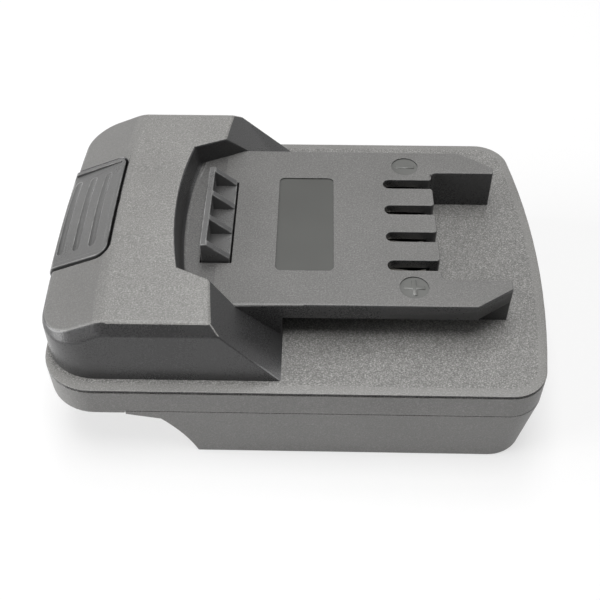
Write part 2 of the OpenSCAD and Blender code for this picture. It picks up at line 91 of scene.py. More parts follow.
@dataclass
class Graph:
    """Adds nodes to a shader or geometry tree and wires them."""

    tree: bpy.types.NodeTree

    def add(self, kind: str, inputs: dict | None = None, **settings: object) -> bpy.types.Node:
        """Adds one node.

        Args:
            kind: Blender's type name of the node.
            inputs: Value or socket for each input, by name or number.
            **settings: Properties of the node.

        Returns:
            The new node.
        """
        node = self.tree.nodes.new(kind)
        for key, value in settings.items():
            setattr(node, key, value)
        for key, value in (inputs or {}).items():
            if isinstance(value, Socket):
                self.tree.links.new(value, node.inputs[key])
            else:
                node.inputs[key].default_value = value
        return node

    def math(self, operation: str, *values: object) -> Socket:
        """Adds a Math node and returns its result."""
        return self.add("ShaderNodeMath", dict(enumerate(values)), operation=operation).outputs[0]

    def attribute(self, name: str) -> Socket:
        """Returns the number that a mesh keeps under that name."""
        return self.add("ShaderNodeAttribute", attribute_name=name).outputs["Fac"]

    def noise(self, size: float, detail: float, roughness: float = 0.5) -> Socket:
        """Adds 3-D noise on Object coordinates.

        Args:
            size: Length of one feature, in metres.
            detail: Octaves of finer noise.
            roughness: Weight of those octaves.

        Returns:
            The noise value, about 0.5 on average.
        """
        place = self.add("ShaderNodeTexCoord").outputs["Object"]
        wanted = {"Vector": place, "Scale": 1 / size, "Detail": detail, "Roughness": roughness}
        return self.add("ShaderNodeTexNoise", wanted).outputs["Fac"]

    def ramp(self, value: Socket, start: tuple[float, float], low: float = 0,
             high: float = 1) -> Socket:
        """Maps a value from one span to another.

        Args:
            value: Socket with the value.
            start: Span that the value comes from.
            low: Result at the lower end of that span.
            high: Result at its upper end.

        Returns:
            The mapped value, held between low and high.
        """
        wanted = {"Value": value, "From Min": start[0], "From Max": start[1], "To Min": low, "To Max": high}
        return self.add("ShaderNodeMapRange", wanted).outputs["Result"]

    def span(self, value: Socket, low: float, high: float) -> Socket:
        """Maps the middle of a noise value to a span and returns it."""
        return self.ramp(value, NOISE_MIDDLE, low, high)

    def bump(self, height: Socket, depth: float) -> Socket:
        """Adds a Bump node of full strength and returns its normal."""
        wanted = {"Height": height, "Distance": depth, "Strength": 1.0}
        return self.add("ShaderNodeBump", wanted).outputs["Normal"]

    def principled(self, inputs: dict) -> None:
        """Ends a material in a Principled BSDF with those inputs."""
        shader = self.add("ShaderNodeBsdfPrincipled", inputs)
        self.add("ShaderNodeOutputMaterial", {"Surface": shader.outputs[0]})

    def blend(self, share: object, first: object, second: object) -> Socket:
        """Mixes two colours by a share and returns the result."""
        wanted = {0: share, 6: first, 7: second}
        return self.add("ShaderNodeMix", wanted, data_type="RGBA", clamp_factor=False).outputs[2]


def new_material(name: str) -> tuple[bpy.types.Material, Graph]:
    """Makes an empty node material.

    Args:
        name: Name of the finish.

    Returns:
        The material and its graph.
    """
    material = bpy.data.materials.new(name)
    material.use_nodes = True
    material.node_tree.nodes.clear()
    return material, Graph(material.node_tree)


def opaque(colour: Colour, share: float = 1.0) -> tuple[float, float, float, float]:
    """Returns a colour scaled by a share, with full alpha."""
    return (colour[0] * share, colour[1] * share, colour[2] * share, 1.0)


@dataclass(frozen=True)
class MouldedPlastic:
    """Moulded plastic, dark where the mould is polished and pale where a spark-eroded mould has frosted it,
    the pale tone on tops being partly painted sheen.

    A face attribute gives the share of that pale tone on each face, partly frost and partly painted sheen
    and shade, another the depth of the grain, and a third marks the rounded edges. Bright flecks of the
    grain are partly painted glints, and the rounded edges are lightened by wear and by a painted highlight.
    """

    name: str
    polished: Colour
    pale_frost_and_sheen: Colour
    roughness: float
    gloss: float = 0.5
    frost_rough: float = 0.12
    grain_size: float = 0.3 * MM
    grain_depth: float = 0.1 * MM
    grain_detail: float = 0.6
    grain_rough: float = 0.1
    flecks_and_glints: float = 4.5
    glint_power: float = 3
    glint_mean: float = 0.14
    cloud_size: float = 14 * MM
    cloud: float = 0.06
    cloud_rough: float = 0.03
    wear_and_highlight: float = 0.25
    wear_and_highlight_size: float = 2.5 * MM

    def material(self) -> bpy.types.Material:
        """Builds the material.

        Returns:
            A material that reads the attributes of pale share, grain and rounded edge.
        """
        material, graph = new_material(self.name)
        grain = graph.attribute("grain")
        cloud = graph.noise(self.cloud_size, 3)
        speck = graph.noise(self.grain_size, 2, self.grain_detail)
        drift = graph.span(cloud, 1 - self.cloud, 1 + self.cloud)
        # Bright flecks of the grain, skewed by a power, partly painted glints of the lamps
        glint = graph.math("SUBTRACT", graph.math("POWER", speck, self.glint_power), self.glint_mean)
        flecks_and_glints = graph.math("MULTIPLY", graph.math("MULTIPLY", glint, self.flecks_and_glints), grain)
        # Rounded edges are lightened by wear and by a painted highlight
        worn_and_lit = graph.span(graph.noise(self.wear_and_highlight_size, 3), 0, self.wear_and_highlight)
        wear_and_highlight = graph.math("MULTIPLY", graph.attribute("edge"), worn_and_lit)
        share = graph.math("MULTIPLY", drift, graph.math("ADD", graph.math("ADD", flecks_and_glints, wear_and_highlight), 1))
        # Pale share per face: frost of the grained mould, and painted sheen and shade
        frost_and_sheen = graph.attribute("frost_and_sheen")
        tone = graph.blend(frost_and_sheen, opaque(self.polished), opaque(self.pale_frost_and_sheen))
        tone = graph.add("ShaderNodeVectorMath", {0: tone, "Scale": share}, operation="SCALE").outputs[0]
        rough = graph.span(cloud, self.roughness - self.cloud_rough, self.roughness + self.cloud_rough)
        rough = graph.math("ADD", rough, graph.math("MULTIPLY", frost_and_sheen, self.frost_rough))
        gritty = graph.math("MULTIPLY", grain, graph.span(speck, 0, self.grain_rough))
        rough = graph.math("ADD", rough, gritty)
        normal = graph.bump(graph.math("MULTIPLY", speck, grain), self.grain_depth)
        graph.principled({"Base Color": tone, "Roughness": rough, "Normal": normal,
                          "Specular IOR Level": self.gloss})
        return material


@dataclass(frozen=True)
class PlatedMetal:
    """Plated strip or wire with a drawn, slightly streaked surface."""

    name: str
    colour: Colour
    roughness: float
    streak: float = 0.25
    streak_scale: tuple[float, float, float] = (400, 6000, 6000)
    streak_depth: float = 0.004 * MM
    cloud_size: float = 3 * MM
    cloud_rough: float = 0.1
    dull: float = 0.88

    def material(self) -> bpy.types.Material:
        """Builds the material.

        Returns:
            A metal whose tone and roughness drift along streaks.
        """
        material, graph = new_material(self.name)
        place = graph.add("ShaderNodeTexCoord").outputs["Object"]
        drawn = graph.add("ShaderNodeMapping", {"Vector": place, "Scale": self.streak_scale})
        streak = graph.add("ShaderNodeTexNoise", {"Vector": drawn.outputs[0], "Scale": 1, "Detail": 3})
        cloud = graph.noise(self.cloud_size, 3)
        tone = graph.blend(graph.span(cloud, 0, 1), opaque(self.colour, self.dull), opaque(self.colour))
        drift = self.cloud_rough * self.roughness
        rough = graph.math("ADD", graph.span(streak.outputs["Fac"], 0, self.streak * self.roughness),
                           graph.span(cloud, self.roughness - drift, self.roughness + drift))
        normal = graph.bump(streak.outputs["Fac"], self.streak_depth)
        graph.principled({"Base Color": tone, "Metallic": 1.0, "Roughness": rough, "Normal": normal})
        return material


@dataclass(frozen=True)
class Sleeve:
    """Soft insulation of a lead, faintly dusty."""

    name: str
    colour: Colour
    roughness: tuple[float, float] = (0.42, 0.52)
    dusty: float = 0.85
    dust_size: float = 1.5 * MM
    grain_size: float = 0.25 * MM
    grain_depth: float = 0.01 * MM

    def material(self) -> bpy.types.Material:
        """Builds the material.

        Returns:
            A matt coloured plastic.
        """
        material, graph = new_material(self.name)
        cloud = graph.noise(self.dust_size, 3)
        tone = graph.blend(graph.span(cloud, 0, 1), opaque(self.colour, self.dusty), opaque(self.colour))
        normal = graph.bump(graph.noise(self.grain_size, 2), self.grain_depth)
        graph.principled({"Base Color": tone, "Roughness": graph.span(cloud, *self.roughness),
                          "Normal": normal})
        return material


class Finish(Enum):
    """Finishes of the adapter, each made once and shared."""

    # The second colour of each plastic is its pale tone, partly frost and partly painted sheen; the
    # button's strong edge lightening is partly a painted highlight
    COVER = MouldedPlastic("cover_grain", (0.038, 0.038, 0.039), (0.205, 0.202, 0.195), 0.26,
                           frost_rough=0.14)
    FRAME = MouldedPlastic("frame_grain", (0.036, 0.036, 0.037), (0.185, 0.182, 0.177), 0.34)
    BUTTON = MouldedPlastic("button_satin", (0.100, 0.100, 0.100), (0.205, 0.202, 0.195), 0.26, wear_and_highlight=1.4)
    LABEL = MouldedPlastic("label_film", (0.072, 0.073, 0.068), (0.15, 0.15, 0.15), 0.34)
    MARK = MouldedPlastic("mark_gloss", (0.135, 0.137, 0.130), (0.15, 0.15, 0.15), 0.22)
    INNER = MouldedPlastic("inner_black", (0.020, 0.020, 0.021), (0.03, 0.03, 0.03), 0.5)
    TIN = PlatedMetal("terminal_tin", (0.64, 0.62, 0.57), 0.28)
    NICKEL = PlatedMetal("blade_nickel", (0.70, 0.68, 0.64), 0.24)
    SPRING = PlatedMetal("spring_wire", (0.56, 0.55, 0.54), 0.3)
    SCREW = PlatedMetal("screw_zinc", (0.62, 0.62, 0.62), 0.28)
    COPPER = PlatedMetal("bare_strand", (0.80, 0.47, 0.30), 0.3)
    RED = Sleeve("sleeve_red", (0.45, 0.018, 0.014))
    YELLOW = Sleeve("sleeve_yellow", (0.72, 0.46, 0.03))
    WHITE = Sleeve("sleeve_white", (0.74, 0.73, 0.70))
    BLACK = Sleeve("sleeve_black", (0.022, 0.022, 0.024))

    def material(self) -> bpy.types.Material:
        """Returns the finish's material, made at the first call."""
        return bpy.data.materials.get(self.value.name) or self.value.material()


def new_object(name: str, mesh: bpy.types.Mesh) -> bpy.types.Object:
    """Links a mesh to the scene as an object at the origin and returns it."""
    made = bpy.data.objects.new(name, mesh)
    bpy.context.scene.collection.objects.link(made)
    return made


def plain_mesh(name: str, form: bmesh.types.BMesh) -> bpy.types.Mesh:
    """Turns a form into a mesh of that name, frees the form and returns the mesh."""
    mesh = bpy.data.meshes.new(name)
    form.to_mesh(mesh)
    form.free()
    return mesh


def applied(made: bpy.types.Object) -> bpy.types.Object:
    """Turns an object's modifiers into its plain mesh.

    Args:
        made: Object with modifiers.

    Returns:
        The same object with the evaluated mesh and no modifier.
    """
    graph = bpy.context.evaluated_depsgraph_get()
    graph.update()
    mesh = bpy.data.meshes.new_from_object(made.evaluated_get(graph), preserve_all_data_layers=True,
                                           depsgraph=graph)
    made.modifiers.clear()
    made.data = mesh
    return made


def merged(node: str) -> bmesh.types.BMesh:
    """Returns a copy of a CAD node's mesh with its loose triangles merged."""
    form = bmesh.new()
    form.from_mesh(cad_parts[node].data)
    bmesh.ops.remove_doubles(form, verts=form.verts, dist=MERGE)
    return form


def islands(node: str) -> list[tuple[Vector, Vector]]:
    """Finds the separate solids of a CAD node.

    Args:
        node: Name of the node.

    Returns:
        Lowest and highest corner of each solid.
    """
    form = merged(node)
    left = set(form.verts)
    boxes = []
    while left:
        found, wave = set(), [left.pop()]
        while wave:
            point = wave.pop()
            found.add(point)
            near = {edge.other_vert(point) for edge in point.link_edges} & left
            left -= near
            wave.extend(near)
        places = [point.co for point in found]
        boxes.append((Vector(map(min, *places)), Vector(map(max, *places))))
    form.free()
    return sorted(boxes, key=lambda box: tuple(box[0]))


@dataclass(frozen=True)
class Zone:
    """Box in which edges take a width of their own and tops a grain, a finish, or a pale share of their
    own, which is partly frost and partly painted sheen and shade.
    """

    low: tuple[float, float, float]
    high: tuple[float, float, float]
    width: float | None = None
    frost_and_sheen: float | None = None
    grain: float | None = None
    finish: Finish | None = None

    def holds(self, place: Vector) -> bool:
        """Tells whether a place, in metres, lies in the zone, whose corners are in millimetres."""
        return all(low * MM <= value <= high * MM for low, value, high in zip(self.low, place, self.high))


@dataclass
class Moulding:
    """Piece made from one CAD node, with rounded edges and marked faces."""

    node: str
    slot: str
    finish: Finish
    body: Body = Body.HOUSING
    width: float = 0.25
    zones: Sequence[Zone] = ()
    # Pale share and grain on upward faces and on walls; the paler upward faces are partly frost and partly
    # painted sheen
    top: tuple[float, float] = (1, 1)
    wall: tuple[float, float] = (0.06, 0.4)
    top_slope: float = 0.8
    segments: int = 3
    least_fold: float = math.radians(16)
    full_fold: float = math.radians(30)
    sharp_fold: float = math.radians(34)
    joined_fold: float = math.radians(0.5)
    probe: float = 0.05

    def edge_width(self, place: Vector, fold: float) -> float:
        """Gives the rounding width of an edge.

        Args:
            place: Middle of the edge.
            fold: Angle between its two faces.

        Returns:
            Width in millimetres, less where the fold is slight.
        """
        width = next((z.width for z in self.zones if z.width is not None and z.holds(place)), self.width)
        return width * min(1, (fold - self.least_fold) / (self.full_fold - self.least_fold))

    def surface(self, place: Vector, normal: Vector) -> tuple[float, float]:
        """Gives the surface of a face.

        Args:
            place: Middle of the face.
            normal: Its direction.

        Returns:
            Shares of pale tone and grain, 1 for the usual ones; the pale share is partly frost and partly
            painted sheen and shade.
        """
        if normal.z < self.top_slope:
            return self.wall
        marked = ((z.frost_and_sheen, z.grain) for z in self.zones if z.grain is not None and z.holds(place))
        return next(marked, self.top)

    def face_finish(self, place: Vector) -> Finish:
        """Returns the finish of a face at that place."""
        return next((z.finish for z in self.zones if z.finish and z.holds(place)), self.finish)

    def weigh(self, form: bmesh.types.BMesh, widest: float) -> None:
        """Writes a bevel weight on each convex edge that is open to the outside.

        Args:
            form: Merged mesh of the node.
            widest: Width that stands for a weight of 1, in millimetres.
        """
        weight = form.edges.layers.float.new("bevel_weight_edge")
        solid = BVHTree.FromBMesh(form)
        for edge in form.edges:
            fold = edge.calc_face_angle_signed(0)
            if len(edge.link_faces) != 2 or fold < self.least_fold:
                continue
            place = (edge.verts[0].co + edge.verts[1].co) / 2
            outward = (edge.link_faces[0].normal + edge.link_faces[1].normal).normalized()
            if solid.ray_cast(place + outward * self.probe * MM, outward)[0] is None:
                edge[weight] = self.edge_width(place, fold) / widest

    def part(self, form: bmesh.types.BMesh) -> None:
        """Cuts faces that run round openings before the triangles are joined, for pieces that need it."""

    def prepare(self, form: bmesh.types.BMesh) -> None:
        """Changes the joined mesh before its edges are rounded, for pieces that need it."""

    def shape(self) -> bpy.types.Object:
        """Rounds the edges of the node's copy.

        Returns:
            The new object with a plain mesh.
        """
        form = merged(self.node)
        self.part(form)
        bmesh.ops.dissolve_limit(form, angle_limit=self.joined_fold, verts=form.verts, edges=form.edges,
                                 delimit={"SEAM"})
        self.prepare(form)
        widest = max([self.width, *(zone.width or 0 for zone in self.zones)])
        self.weigh(form, widest)
        mesh = plain_mesh(self.node, form)
        made = new_object("looks_" + self.node, mesh)
        mesh.materials.append(None)
        mesh.materials.append(None)
        bevel = made.modifiers.new("rounding", "BEVEL")
        bevel.limit_method = "WEIGHT"
        bevel.width = widest * MM
        bevel.segments = self.segments
        bevel.use_clamp_overlap = False
        bevel.loop_slide = False
        bevel.material = 1
        return applied(made)

    def mark(self, mesh: bpy.types.Mesh) -> None:
        """Gives the faces their finishes and marks rounded edges, the pale share of frost and painted
        sheen, and grain on them.

        Args:
            mesh: Mesh whose second material slot holds the rounded edges.
        """
        finishes = list(dict.fromkeys([self.finish, *(zone.finish for zone in self.zones if zone.finish)]))
        rounded = [face.material_index == 1 for face in mesh.polygons]
        mesh.materials.clear()
        for finish in finishes:
            mesh.materials.append(finish.material())
        for face in mesh.polygons:
            face.material_index = finishes.index(self.face_finish(face.center))
            face.use_smooth = True
        rows = [(float(edge), *self.surface(face.center, face.normal))
                for edge, face in zip(rounded, mesh.polygons)]
        for name, values in zip(("edge", "frost_and_sheen", "grain"), zip(*rows)):
            mesh.attributes.new(name, "FLOAT", "FACE").data.foreach_set("value", values)

    def build(self) -> bpy.types.Object:
        """Makes the piece, dresses it and puts it on its body.

        Returns:
            The finished object.
        """
        made = self.shape()
        self.mark(made.data)
        made.data.set_sharp_from_angle(angle=self.sharp_fold)
        normals = made.modifiers.new("even_normals", "WEIGHTED_NORMAL")
        normals.keep_sharp = True
        applied(made)
        return seated(made, self.body, self.slot, self.node)


def seated(made: bpy.types.Object, body: Body, slot: str, *nodes: str) -> bpy.types.Object:
    """Puts a finished piece on its body in place of CAD nodes.

    Args:
        made: Finished object.
        body: Body that it moves with.
        slot: Material slot of the record; not used.
        *nodes: CAD nodes that it stands for.

    Returns:
        The same object.
    """
    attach(made, body.value)
    if nodes:
        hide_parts(*nodes)
    log.info("%s: %d faces", made.name, len(made.data.polygons))
    return made


@dataclass
class TopCover(Moulding):
    """Cover with the crowned head, rails, stem and arms, whose flange falls off towards its border."""

    node: str = "top_cover"
    slot: str = "cover_plastic"
    finish: Finish = Finish.COVER
    width: float = 0.3
    top: tuple[float, float] = (0.72, 0.5)
    zones: Sequence[Zone] = (
        # Label panel and sign discs, and the rims round them
        Zone((-6, -16, 32.6), (8, 16, 32.85), None, 0, 0, Finish.LABEL),
        Zone((20, -23, 32.6), (28, -16, 32.85), None, 0, 0, Finish.MARK),
        Zone((20, 16, 32.6), (28, 23, 32.85), None, 0, 0, Finish.MARK),
        Zone((-6, -16, 32.9), (8, 16, 33.2), 0.08),
        Zone((20, -23, 32.9), (28, -16, 33.2), 0.06),
        Zone((20, 16, 32.9), (28, 23, 33.2), 0.06),
        # Far rail, hook opening and slots
        Zone((-14, 23, 32.4), (45, 27, 33.2), 0.45),
        Zone((-22, -14, 32), (-14, 14, 33.2), 0.12),
        Zone((18, -16, 32), (31, 16, 33.2), 0.18),
        # Fallen border of the flange, paler still as a painted highlight, and the flange, paler than the
        # deck, partly as painted sheen
        Zone((-60, -45, 22.9), (60, 45, 23.17), 0.15, 1.25, 0.4),
        Zone((-60, -45, 20), (60, 45, 23.3), 0.2, 1.14, 0.9),
        # Thumb facet, less pale than the head top, partly as painted shade, and the round above it in three
        # steps whose pale share grades from the facet's to the top's
        Zone((-60, -45, 23.4), (-41, 45, 40), 0.45, 0.7, 0.3),
        Zone((-41, -45, 33.5), (-40.2, 45, 40), None, 0.84, 0.38),
        Zone((-40.2, -45, 33.5), (-39.4, 45, 40), None, 0.97, 0.45),
        Zone((-39.4, -45, 33.5), (-38.5, 45, 40), None, 1.1, 0.52),
        # Recess floor, less pale as painted shade from the head; button opening; head top, paler partly as
        # painted sheen; and head edges
        Zone((-30, -21, 32.9), (-14, 21, 33.2), 0.12, 0.5, 0.6),
        Zone((-60, -17, 20), (-39, 17, 40), 0.2),
        Zone((-60, -45, 33.5), (-2, 45, 40), 0.45, 1.22, 0.6),
        Zone((-60, -45, 26), (-2, 45, 40), 0.45),
    )
    flat: float = 0.99
    border_fold: float = math.radians(60)
    flange_top: float = 23.2
    rim_drop: float = 0.2
    rim_width: float = 2.0
    rim_end: float = -54.5
    rim_growth: float = 0.4
    deck_top: float = 33.05
    deck_cuts: Sequence[float] = (-18, 1, 24.2)

    def part(self, form: bmesh.types.BMesh) -> None:
        """Cuts the deck across its openings, so that no face runs round one.

        Args:
            form: Merged mesh of the node.
        """
        for x in self.deck_cuts:
            deck = [face for face in form.faces if face.normal.z > self.flat
                    and abs(face.calc_center_median().z - self.deck_top * MM) < LEVEL]
            edges = {edge for face in deck for edge in face.edges}
            points = {point for face in deck for point in face.verts}
            made = bmesh.ops.bisect_plane(form, geom=[*points, *edges, *deck], dist=CUT,
                                          plane_co=(x * MM, 0, 0), plane_no=(1, 0, 0))
            for edge in made["geom_cut"]:
                if isinstance(edge, bmesh.types.BMEdge):
                    edge.seam = True

    def is_border(self, edge: bmesh.types.BMEdge) -> bool:
        """Tells whether an edge lies on the flange's outer border."""
        level = all(abs(point.co.z - self.flange_top * MM) < LEVEL for point in edge.verts)
        return level and edge.calc_face_angle_signed(0) > self.border_fold

    def prepare(self, form: bmesh.types.BMesh) -> None:
        """Lets the flange fall off softly towards its border, less where the head comes close to it.

        Args:
            form: Merged mesh of the node.
        """
        drop = self.rim_drop * MM
        border = [edge for edge in form.edges if self.is_border(edge)]
        made = bmesh.ops.bevel(form, geom=border, offset=drop, offset_type="OFFSET", segments=1,
                               profile=0.5, affect="EDGES", clamp_overlap=False, loop_slide=False)
        strip = set(made["faces"])
        moves = {}
        for point in {point for face in strip for point in face.verts}:
            if abs(point.co.z - self.flange_top * MM) > LEVEL:
                continue
            inward = -sum((face.normal for face in point.link_faces if face in strip), Vector())
            inward.z = 0
            room = min(self.rim_width, self.rim_drop + self.rim_growth * (point.co.x / MM - self.rim_end))
            moves[point] = inward.normalized() * (room * MM - drop)
        for point, move in moves.items():
            point.co += move
        form.normal_update()


@dataclass
class MiddleFrame(Moulding):
    """Frame with the band between the two seams."""

    node: str = "middle_frame"
    slot: str = "frame_plastic"
    finish: Finish = Finish.FRAME
    width: float = 0.22
    wall: tuple[float, float] = (1, 0.35)
    zones: Sequence[Zone] = (Zone((-60, -45, 15.5), (60, 45, 16.5), 0.3),)


@dataclass
class BatterySocket(Moulding):
    """Lower box with the battery channel."""

    node: str = "battery_socket"
    slot: str = "frame_plastic"
    finish: Finish = Finish.FRAME
    width: float = 0.3
    wall: tuple[float, float] = (1, 0.35)
    zones: Sequence[Zone] = (
        # Foot, seam, and the thin end of the step, where a wide rounding would leave a spike
        Zone((-60, -45, -1), (60, 45, 0.6), 0.5),
        Zone((-60, -45, 15.5), (60, 45, 16.5), 0.06),
        Zone((-36.3, -41, 14.5), (-35.9, 41, 16.5), 0.06),
    )


@dataclass
class ReleaseLatch(Moulding):
    """Thumb button, arm and ribbed hook in one moulding."""

    node: str = "release_latch"
    slot: str = "latch_plastic"
    finish: Finish = Finish.BUTTON
    body: Body = Body.LATCH
    width: float = 0.25
    top: tuple[float, float] = (0.15, 0.2)
    wall: tuple[float, float] = (0, 0.1)
    zones: Sequence[Zone] = (Zone((-54, -14.6, 31), (-41.6, 14.6, 39.5), 0.1, 0.15, 0.2),)
    slope: float = math.radians(22.6)
    panel_level: float = 51.362
    panel_crown: float = 285.7
    panel_end: float = -41.6
    panel_half: float = 14.6
    panel_depth: tuple[float, float] = (-0.02, 0.6)
    groove_mid: float = 0.15
    groove_fall: float = 0.06
    step_start: float = 4.83
    step_slope: float = 0.04

    def prepare(self, form: bmesh.types.BMesh) -> None:
        """Deepens the panel towards its far step and the grooves towards their near ends.

        Args:
            form: Joined mesh of the node.
        """
        out = Vector((-math.sin(self.slope), 0, math.cos(self.slope)))
        least, most = self.panel_depth
        for point in form.verts:
            x, y, _ = point.co / MM
            depth = self.panel_level - y * y / (2 * self.panel_crown) - out.dot(point.co) / MM
            if x < self.panel_end and abs(y) < self.panel_half and least < depth < most:
                groove = depth * (self.groove_mid - self.groove_fall * y)
                step = self.step_slope * max(0, y - self.step_start)
                point.co -= out * (groove + step) * MM
        form.normal_update()


@dataclass
class InnerBlock(Moulding):
    """Insulating block that holds contacts."""

    slot: str = "inner_plastic"
    finish: Finish = Finish.INNER
    width: float = 0.15


@dataclass
class ContactStrip(Moulding):
    """Fork terminal or blade cut from plated strip."""

    width: float = 0.06
    segments: int = 2


@dataclass
class DiscSigns:
    """Raised plus and minus with rounded bars in the two sunk discs."""

    bar: tuple[float, float, float] = (4.5, 1.0, 0.24)
    floor: float = 32.78
    disc_x: float = 24.2
    disc_y: float = 19.6
    rounding: float = 0.2
    lap: float = 0.02

    def build(self) -> bpy.types.Object:
        """Makes the three bars and puts them on the housing.

        Returns:
            One object with the bars of both signs.
        """
        form = bmesh.new()
        length, width, height = self.bar
        for y, size in ((self.disc_y, (length, width, height)),
                        (-self.disc_y, (length, width, height - self.lap)),
                        (-self.disc_y, (width, length, height))):
            place = Vector((self.disc_x, y, self.floor + size[2] / 2)) * MM
            stretch = Matrix.LocRotScale(place, None, Vector(size) * MM)
            made = bmesh.ops.create_cube(form, size=1, matrix=stretch)
            upper = [edge for point in made["verts"] for edge in point.link_edges
                     if all(end.co.z > place.z for end in edge.verts)]
            bmesh.ops.bevel(form, geom=list(set(upper)), offset=self.rounding * MM, segments=4, profile=0.5,
                            affect="EDGES")
        mesh = plain_mesh("disc_signs", form)
        mesh.shade_smooth()
        mesh.materials.append(Finish.MARK.material())
        return seated(new_object("disc_signs", mesh), Body.HOUSING, "cover_plastic")


def geometry_tree(name: str, sizes: Iterable[tuple[str, str]]
                  ) -> tuple[bpy.types.NodeTree, Graph, bpy.types.Node]:
    """Starts a Geometry Nodes tree.

    Args:
        name: Name of the tree.
        sizes: Name and socket type of each input after the geometry.

    Returns:
        The tree, its graph and its group input node.
    """
    tree = bpy.data.node_groups.new(name, "GeometryNodeTree")
    tree.interface.new_socket("Geometry", in_out="INPUT", socket_type="NodeSocketGeometry")
    tree.interface.new_socket("Geometry", in_out="OUTPUT", socket_type="NodeSocketGeometry")
    for label, kind in sizes:
        tree.interface.new_socket(label, in_out="INPUT", socket_type=kind)
    graph = Graph(tree)
    return tree, graph, graph.add("NodeGroupInput")


def grown(name: str, places: Sequence[Vector], tree: bpy.types.NodeTree, sizes: dict) -> bpy.types.Object:
    """Runs a Geometry Nodes tree on a set of points.

    Args:
        name: Name of the new piece.
        places: Points that the tree starts from.
        tree: The tree.
        sizes: Value for each named input.

    Returns:
        The object with the tree's result as its plain mesh.
    """
    mesh = bpy.data.meshes.new(name)
    mesh.from_pydata(places, [], [])
    made = new_object(name, mesh)
    modifier = made.modifiers.new(name, "NODES")
    modifier.node_group = tree
    for item in tree.interface.items_tree:
        if item.in_out == "INPUT" and item.name in sizes:
            modifier[item.identifier] = sizes[item.name]
    return applied(made)


def swept(graph: Graph, steps: object, spot: bpy.types.Node, radius: object, sides: int) -> Socket:
    """Runs a capped tube along a path.

    Args:
        graph: Graph of the tree.
        steps: Points along the path, as a value or a socket.
        spot: Node that gives the place of each point.
        radius: Radius of the tube, as a value or a socket.
        sides: Sides of the tube.

    Returns:
        The tube's mesh.
    """
    line = graph.add("GeometryNodeMeshLine", {"Count": steps})
    path = graph.add("GeometryNodeMeshToCurve", {"Mesh": line.outputs[0]})
    bent = graph.add("GeometryNodeSetPosition", {"Geometry": path.outputs[0], "Position": spot.outputs[0]})
    ring = graph.add("GeometryNodeCurvePrimitiveCircle", {"Resolution": sides, "Radius": radius})
    return graph.add("GeometryNodeCurveToMesh", {
        "Curve": bent.outputs[0], "Profile Curve": ring.outputs[0], "Fill Caps": True}).outputs[0]


def closed_by(graph: Graph, geometry: Socket, finish: Finish) -> None:
    """Ends a tree in Realize Instances, smooth shading and Set Material."""
    real = graph.add("GeometryNodeRealizeInstances", {"Geometry": geometry})
    smooth = graph.add("GeometryNodeSetShadeSmooth", {"Geometry": real.outputs[0]})
    dressed = graph.add("GeometryNodeSetMaterial", {"Geometry": smooth.outputs[0],
                                                    "Material": finish.material()})
    graph.add("NodeGroupOutput", {"Geometry": dressed.outputs[0]})


@dataclass
class LatchSprings:
    """Two coil springs under the latch, with closed end turns."""

    node: str = "latch_springs"
    wire: float = 0.8 * MM
    turns: float = 6
    steps: int = 180
    travel: float = 5.2 * MM
    sides: int = 12
    dead_share: float = 0.12
    dead_rise: float = 0.7

    def tree(self) -> bpy.types.NodeTree:
        """Builds the coil tree.

        Returns:
            A tree that puts one coil on each point.
        """
        tree, graph, given = geometry_tree("coil", [
            ("Radius", "NodeSocketFloat"), ("Height", "NodeSocketFloat"), ("Wire", "NodeSocketFloat"),
            ("Turns", "NodeSocketFloat"), ("Steps", "NodeSocketInt")])
        share = graph.add("GeometryNodeSplineParameter").outputs["Factor"]
        angle = graph.math("MULTIPLY", share, graph.math("MULTIPLY", given.outputs["Turns"], math.tau))
        first, last = self.dead_share, 1 - self.dead_share
        dead = graph.math("MULTIPLY", given.outputs["Wire"], self.dead_rise)
        rise = graph.math("SUBTRACT", given.outputs["Height"], given.outputs["Wire"])
        rise = graph.math("SUBTRACT", rise, graph.math("MULTIPLY", dead, 2))
        closed = graph.math("ADD", graph.ramp(share, (0, first)), graph.ramp(share, (last, 1)))
        ends = graph.math("MULTIPLY", dead, closed)
        level = graph.math("ADD", graph.math("MULTIPLY", rise, graph.ramp(share, (first, last))), ends)
        spot = graph.add("ShaderNodeCombineXYZ", {
            "X": graph.math("MULTIPLY", given.outputs["Radius"], graph.math("COSINE", angle)),
            "Y": graph.math("MULTIPLY", given.outputs["Radius"], graph.math("SINE", angle)), "Z": level})
        half = graph.math("MULTIPLY", given.outputs["Wire"], 0.5)
        wire = swept(graph, given.outputs["Steps"], spot, half, self.sides)
        coils = graph.add("GeometryNodeInstanceOnPoints", {
            "Points": given.outputs["Geometry"], "Instance": wire})
        closed_by(graph, coils.outputs[0], Finish.SPRING)
        return tree

    def build(self) -> bpy.types.Object:
        """Makes both springs as one piece.

        Returns:
            The finished object.
        """
        boxes = islands(self.node)
        low, high = boxes[0]
        height = high.z - low.z
        places = [Vector(((a.x + b.x) / 2, (a.y + b.y) / 2, a.z + self.wire / 2)) for a, b in boxes]
        made = grown("coil_springs", places, self.tree(), {
            "Radius": (high.x - low.x - self.wire) / 2, "Height": height, "Wire": self.wire,
            "Turns": self.turns, "Steps": self.steps})
        seated(made, Body.HOUSING, "spring_steel", self.node)
        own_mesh(made)
        return made


